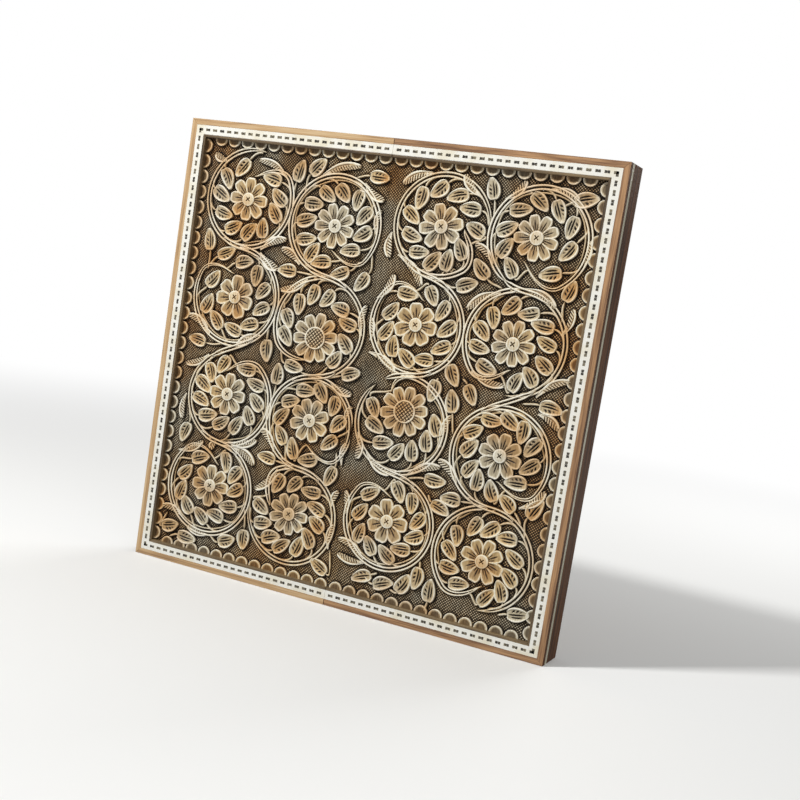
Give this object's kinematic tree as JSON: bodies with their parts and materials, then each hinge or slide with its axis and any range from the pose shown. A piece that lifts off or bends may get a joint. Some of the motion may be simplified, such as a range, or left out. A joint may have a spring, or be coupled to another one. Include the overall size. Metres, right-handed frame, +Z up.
{
  "type": "folding backgammon board",
  "caption": "Folding wooden backgammon board with carved scroll-and-flower outer faces, an inlaid border and two playing trays, standing open on its bottom edge",
  "frame": {"origin": "on the floor under the middle of the open board, at the middle of its bounding box", "axes": "+X to the right seen from the carved side, +Y from the carved faces back to the rims and playing fields, +Z up along the seam"},
  "size_m": [0.5, 0.048, 0.5],
  "materials": {
    "walnut_frame": "oiled walnut, satin",
    "carved_walnut": "hand-carved walnut, stained dark in the ground and rubbed back on the high parts",
    "ivory_strip": "pale inlay strip, polished",
    "strip_tile": "dark inlay tiles, polished",
    "lip_wood": "dark fillet, satin",
    "pale_stringing": "pale stringing, satin",
    "field_veneer": "polished veneer",
    "dark_inlay": "dark stained inlay, polished",
    "light_inlay": "pale inlay, polished",
    "hinge_brass": "satin brass",
    "magnet_steel": "nickel-plated"
  },
  "bodies": {
    "left_half": {"left_bottom_lip": "lip_wood", "left_bottom_rail": "walnut_frame", "left_bottom_rest": "walnut_frame", "left_bottom_stringing": "pale_stringing", "left_bottom_strip": "ivory_strip", "left_carved_board": "carved_walnut", "left_dark_points": "dark_inlay", "left_field_board": "field_veneer", "left_field_lines": "light_inlay", "left_field_star": "light_inlay", "left_hinge_rail": "walnut_frame", "left_hinge_screws": "hinge_brass", "left_light_points": "light_inlay", "left_magnets": "magnet_steel", "left_side_lip": "lip_wood", "left_side_rail": "walnut_frame", "left_side_stringing": "pale_stringing", "left_side_strip": "ivory_strip", "left_strip_tiles": "strip_tile", "left_top_lip": "lip_wood", "left_top_rail": "walnut_frame", "left_top_rest": "walnut_frame", "left_top_stringing": "pale_stringing", "left_top_strip": "ivory_strip", "lower_hinge_left_leaf": "hinge_brass", "lower_hinge_pin": "hinge_brass", "upper_hinge_left_leaf": "hinge_brass", "upper_hinge_pin": "hinge_brass"},
    "right_half": {"lower_hinge_right_leaf": "hinge_brass", "right_bottom_lip": "lip_wood", "right_bottom_rail": "walnut_frame", "right_bottom_rest": "walnut_frame", "right_bottom_stringing": "pale_stringing", "right_bottom_strip": "ivory_strip", "right_carved_board": "carved_walnut", "right_dark_points": "dark_inlay", "right_field_board": "field_veneer", "right_field_lines": "light_inlay", "right_field_star": "light_inlay", "right_hinge_rail": "walnut_frame", "right_hinge_screws": "hinge_brass", "right_light_points": "light_inlay", "right_magnets": "magnet_steel", "right_side_lip": "lip_wood", "right_side_rail": "walnut_frame", "right_side_stringing": "pale_stringing", "right_side_strip": "ivory_strip", "right_strip_tiles": "strip_tile", "right_top_lip": "lip_wood", "right_top_rail": "walnut_frame", "right_top_rest": "walnut_frame", "right_top_stringing": "pale_stringing", "right_top_strip": "ivory_strip", "upper_hinge_right_leaf": "hinge_brass"}
  },
  "joints": [
    {"name": "fold", "type": "hinge", "parent": "left_half", "child": "right_half", "pos_m": [0, 0.02123, 0.25], "axis": [0, 0, 1], "range_deg": [0, 180]}
  ]
}
